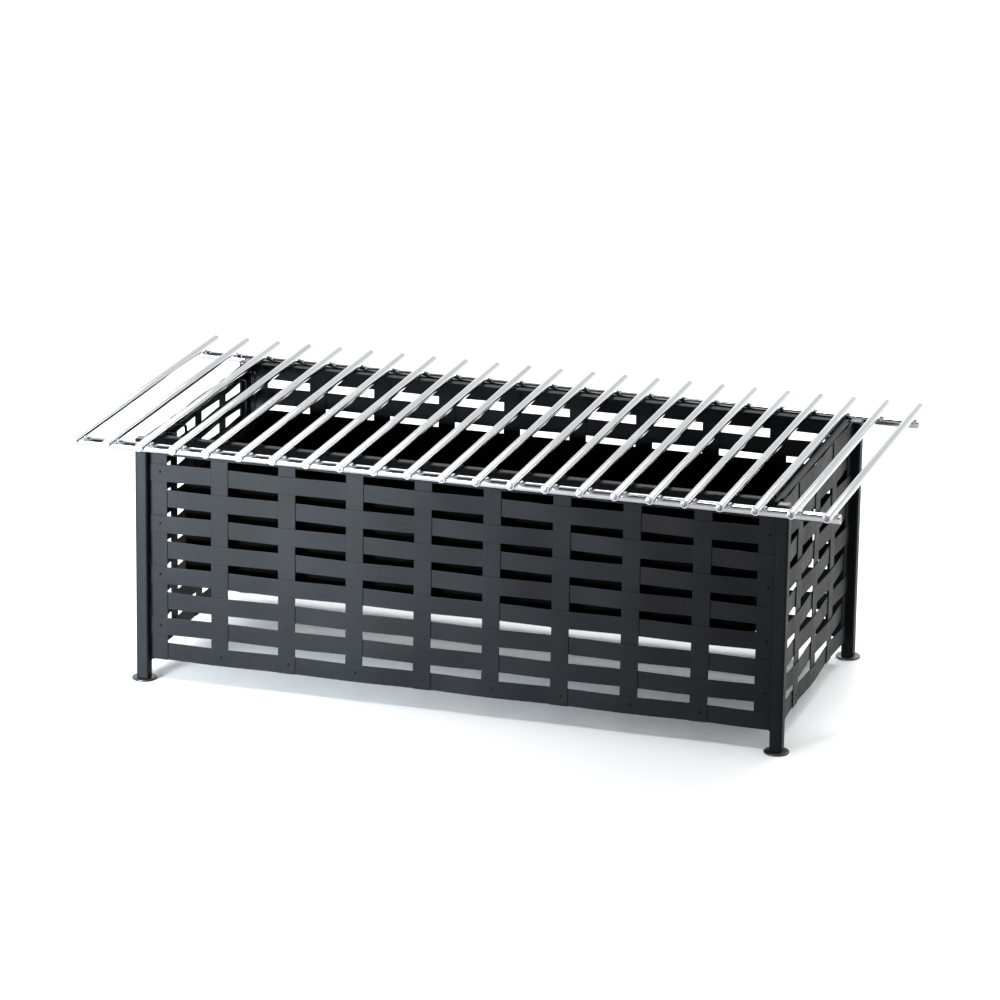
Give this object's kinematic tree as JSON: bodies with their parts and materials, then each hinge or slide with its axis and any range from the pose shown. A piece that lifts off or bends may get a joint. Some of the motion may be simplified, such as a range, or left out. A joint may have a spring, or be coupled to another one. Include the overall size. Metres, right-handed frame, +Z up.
{
  "type": "hibachi grill",
  "caption": "Rectangular open grill stand of woven steel strips on square legs, with a charcoal tray hung inside it and a loose chrome rod grate that lies across its top.",
  "frame": {"origin": "on the floor, under the middle of the stand and of the grate", "axes": "+X to the right of somebody facing the front, along the stand's length; +Y to the rear; +Z up"},
  "size_m": [0.8, 0.419, 0.2708],
  "materials": {
    "powder_coat": "satin black powder coat with a fine texture",
    "chrome": "bright chrome plate",
    "black_plastic": "black moulded plastic"
  },
  "bodies": {
    "stand": {"front_left_leg": "powder_coat", "front_left_cap": "black_plastic", "front_left_glide": "black_plastic", "front_right_leg": "powder_coat", "front_right_cap": "black_plastic", "front_right_glide": "black_plastic", "rear_left_leg": "powder_coat", "rear_left_cap": "black_plastic", "rear_left_glide": "black_plastic", "rear_right_leg": "powder_coat", "rear_right_cap": "black_plastic", "rear_right_glide": "black_plastic", "front_woven_panel": "powder_coat", "front_top_bar": "powder_coat", "rear_woven_panel": "powder_coat", "rear_top_bar": "powder_coat", "left_woven_panel": "powder_coat", "left_top_bar": "powder_coat", "right_woven_panel": "powder_coat", "right_top_bar": "powder_coat", "left_tray_hook_1": "powder_coat", "left_tray_hook_2": "powder_coat", "left_tray_hook_3": "powder_coat", "left_tray_hook_4": "powder_coat", "right_tray_hook_1": "powder_coat", "right_tray_hook_2": "powder_coat", "right_tray_hook_3": "powder_coat", "right_tray_hook_4": "powder_coat"},
    "tray": {"charcoal_tray": "powder_coat"},
    "grate": {"cross_rod_01": "chrome", "cross_rod_02": "chrome", "cross_rod_03": "chrome", "cross_rod_04": "chrome", "cross_rod_05": "chrome", "cross_rod_06": "chrome", "cross_rod_07": "chrome", "cross_rod_08": "chrome", "cross_rod_09": "chrome", "cross_rod_10": "chrome", "cross_rod_11": "chrome", "cross_rod_12": "chrome", "cross_rod_13": "chrome", "cross_rod_14": "chrome", "cross_rod_15": "chrome", "cross_rod_16": "chrome", "cross_rod_17": "chrome", "cross_rod_18": "chrome", "cross_rod_19": "chrome", "cross_rod_20": "chrome", "cross_rod_21": "chrome", "cross_rod_22": "chrome", "cross_rod_23": "chrome", "front_rail": "chrome", "rear_rail": "chrome"}
  },
  "joints": [
    {"name": "grate_lift", "type": "slide", "parent": "stand", "child": "grate", "axis": [0, 0, 1], "range_m": [0, 0.12]},
    {"name": "tray_lift", "type": "slide", "parent": "stand", "child": "tray", "axis": [0, 0, 1], "range_m": [0, 0.04]}
  ]
}
